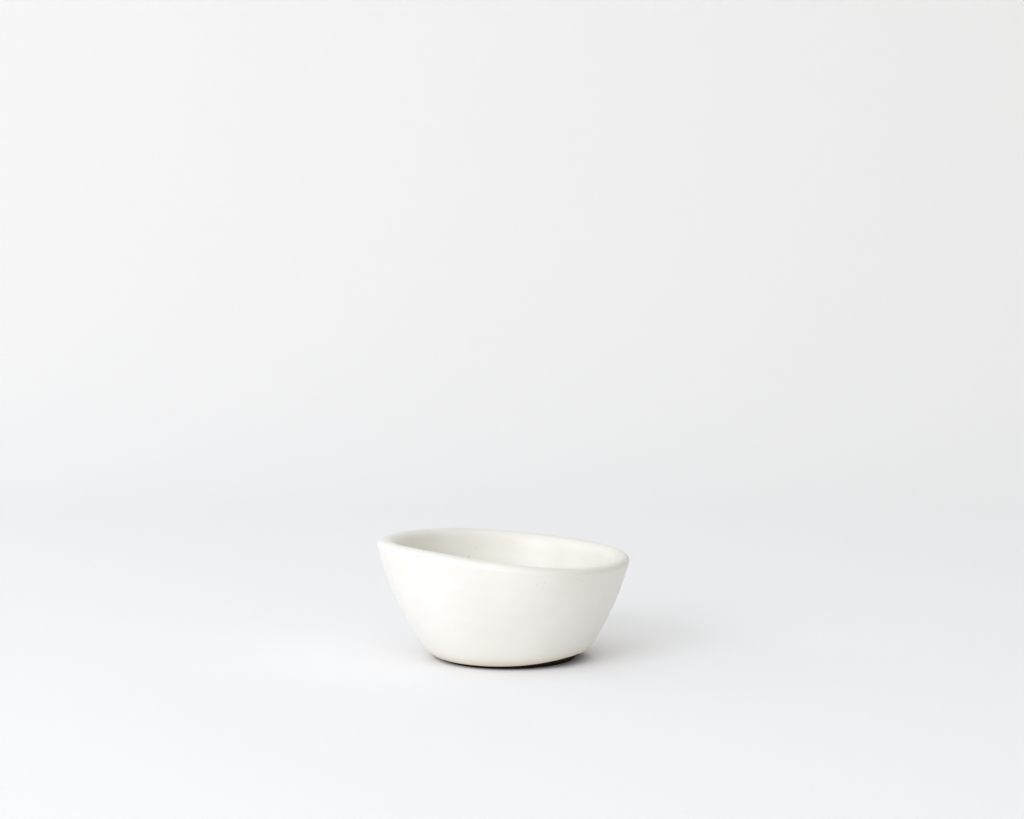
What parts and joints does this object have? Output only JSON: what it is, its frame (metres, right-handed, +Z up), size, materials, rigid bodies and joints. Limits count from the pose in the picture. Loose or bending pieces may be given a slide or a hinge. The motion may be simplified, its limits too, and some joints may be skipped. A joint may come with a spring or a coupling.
{
  "type": "ramekin",
  "caption": "Small hand-made stoneware ramekin: conical bowl with a slanted thick rounded lip, cream glaze with iron specks and a bare clay foot.",
  "frame": {"origin": "middle of the foot's flat face, on the table", "axes": "+Z up; -X towards the rim's high side, +X towards its low side; +Y away from the picture's camera"},
  "size_m": [0.0938, 0.0938, 0.0448],
  "materials": {
    "bare_stoneware": "unglazed dark brown stoneware, dry and slightly gritty",
    "liner_glaze": "cream gloss glaze with small brown iron specks",
    "outer_glaze": "cream gloss glaze with small brown iron specks, warmer where it thins above the foot"
  },
  "bodies": {
    "root": {"clay_body": "bare_stoneware", "liner_glaze": "liner_glaze", "outer_glaze": "outer_glaze"}
  },
  "joints": []
}
